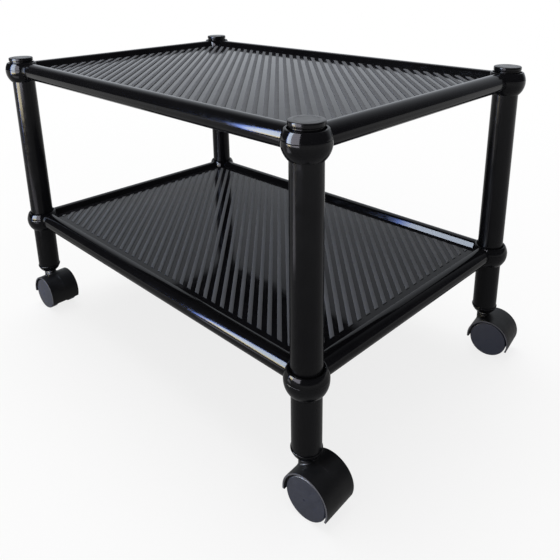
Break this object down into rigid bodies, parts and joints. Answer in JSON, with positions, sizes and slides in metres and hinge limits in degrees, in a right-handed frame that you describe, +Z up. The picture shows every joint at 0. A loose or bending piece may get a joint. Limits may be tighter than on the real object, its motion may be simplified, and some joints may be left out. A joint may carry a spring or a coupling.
{
  "type": "two-tier household trolley",
  "caption": "Low two-tier trolley: ribbed trays with round rails and ball corners on tube posts, with plug caps and hooded twin-wheel swivel casters.",
  "frame": {"origin": "on the floor, under the middle of the trays", "axes": "+X along the long side of the trays, +Y across them, +Z up"},
  "size_m": [0.6321, 0.4047, 0.3843],
  "materials": {
    "tray_plastic": "polished black moulding with fine-grained raised treads on the deck",
    "gloss_black_plastic": "polished black tube and cap mouldings",
    "hood_plastic": "satin black nylon",
    "wheel_plastic": "satin blue-black nylon, tread slightly scuffed",
    "stem_steel": "bright zinc plating",
    "axle_steel": "bright zinc plating",
    "spring_steel": "spring steel"
  },
  "bodies": {
    "frame": {"bottom_tray": "tray_plastic", "top_tray": "tray_plastic", "front_left_post": "gloss_black_plastic", "front_left_leg": "gloss_black_plastic", "front_left_cap": "gloss_black_plastic", "front_left_foot": "gloss_black_plastic", "front_left_stem": "stem_steel", "front_right_post": "gloss_black_plastic", "front_right_leg": "gloss_black_plastic", "front_right_cap": "gloss_black_plastic", "front_right_foot": "gloss_black_plastic", "front_right_stem": "stem_steel", "rear_right_post": "gloss_black_plastic", "rear_right_leg": "gloss_black_plastic", "rear_right_cap": "gloss_black_plastic", "rear_right_foot": "gloss_black_plastic", "rear_right_stem": "stem_steel", "rear_left_post": "gloss_black_plastic", "rear_left_leg": "gloss_black_plastic", "rear_left_cap": "gloss_black_plastic", "rear_left_foot": "gloss_black_plastic", "rear_left_stem": "stem_steel", "grip_rings": "spring_steel"},
    "front_left_caster": {"front_left_hood": "hood_plastic", "front_left_axle": "axle_steel"},
    "front_left_left_wheel": {"front_left_left_wheel": "wheel_plastic"},
    "front_left_right_wheel": {"front_left_right_wheel": "wheel_plastic"},
    "front_right_caster": {"front_right_hood": "hood_plastic", "front_right_axle": "axle_steel"},
    "front_right_left_wheel": {"front_right_left_wheel": "wheel_plastic"},
    "front_right_right_wheel": {"front_right_right_wheel": "wheel_plastic"},
    "rear_right_caster": {"rear_right_hood": "hood_plastic", "rear_right_axle": "axle_steel"},
    "rear_right_left_wheel": {"rear_right_left_wheel": "wheel_plastic"},
    "rear_right_right_wheel": {"rear_right_right_wheel": "wheel_plastic"},
    "rear_left_caster": {"rear_left_hood": "hood_plastic", "rear_left_axle": "axle_steel"},
    "rear_left_left_wheel": {"rear_left_left_wheel": "wheel_plastic"},
    "rear_left_right_wheel": {"rear_left_right_wheel": "wheel_plastic"}
  },
  "joints": [
    {"name": "front_left_swivel", "type": "hinge", "parent": "frame", "child": "front_left_caster", "pos_m": [-0.2725, -0.1775, 0.045], "axis": [0, 0, 1], "continuous": true},
    {"name": "front_left_left_roll", "type": "hinge", "parent": "front_left_caster", "child": "front_left_left_wheel", "pos_m": [-0.25852, -0.17677, 0.0235], "axis": [-0.0523, 0.9986, 0], "continuous": true},
    {"name": "front_left_right_roll", "type": "hinge", "parent": "front_left_caster", "child": "front_left_right_wheel", "pos_m": [-0.25852, -0.17677, 0.0235], "axis": [-0.0523, 0.9986, 0], "continuous": true},
    {"name": "front_right_swivel", "type": "hinge", "parent": "frame", "child": "front_right_caster", "pos_m": [0.2725, -0.1775, 0.045], "axis": [0, 0, 1], "continuous": true},
    {"name": "front_right_left_roll", "type": "hinge", "parent": "front_right_caster", "child": "front_right_left_wheel", "pos_m": [0.28647, -0.17652, 0.0235], "axis": [-0.0698, 0.9976, 0], "continuous": true},
    {"name": "front_right_right_roll", "type": "hinge", "parent": "front_right_caster", "child": "front_right_right_wheel", "pos_m": [0.28647, -0.17652, 0.0235], "axis": [-0.0698, 0.9976, 0], "continuous": true},
    {"name": "rear_right_swivel", "type": "hinge", "parent": "frame", "child": "rear_right_caster", "pos_m": [0.2725, 0.1775, 0.045], "axis": [0, 0, 1], "continuous": true},
    {"name": "rear_right_left_roll", "type": "hinge", "parent": "rear_right_caster", "child": "rear_right_left_wheel", "pos_m": [0.28633, 0.17969, 0.0235], "axis": [-0.1564, 0.9877, 0], "continuous": true},
    {"name": "rear_right_right_roll", "type": "hinge", "parent": "rear_right_caster", "child": "rear_right_right_wheel", "pos_m": [0.28633, 0.17969, 0.0235], "axis": [-0.1564, 0.9877, 0], "continuous": true},
    {"name": "rear_left_swivel", "type": "hinge", "parent": "frame", "child": "rear_left_caster", "pos_m": [-0.2725, 0.1775, 0.045], "axis": [0, 0, 1], "continuous": true},
    {"name": "rear_left_left_roll", "type": "hinge", "parent": "rear_left_caster", "child": "rear_left_left_wheel", "pos_m": [-0.2864, 0.17921, 0.0235], "axis": [-0.1219, -0.9925, 0], "continuous": true},
    {"name": "rear_left_right_roll", "type": "hinge", "parent": "rear_left_caster", "child": "rear_left_right_wheel", "pos_m": [-0.2864, 0.17921, 0.0235], "axis": [-0.1219, -0.9925, 0], "continuous": true}
  ]
}
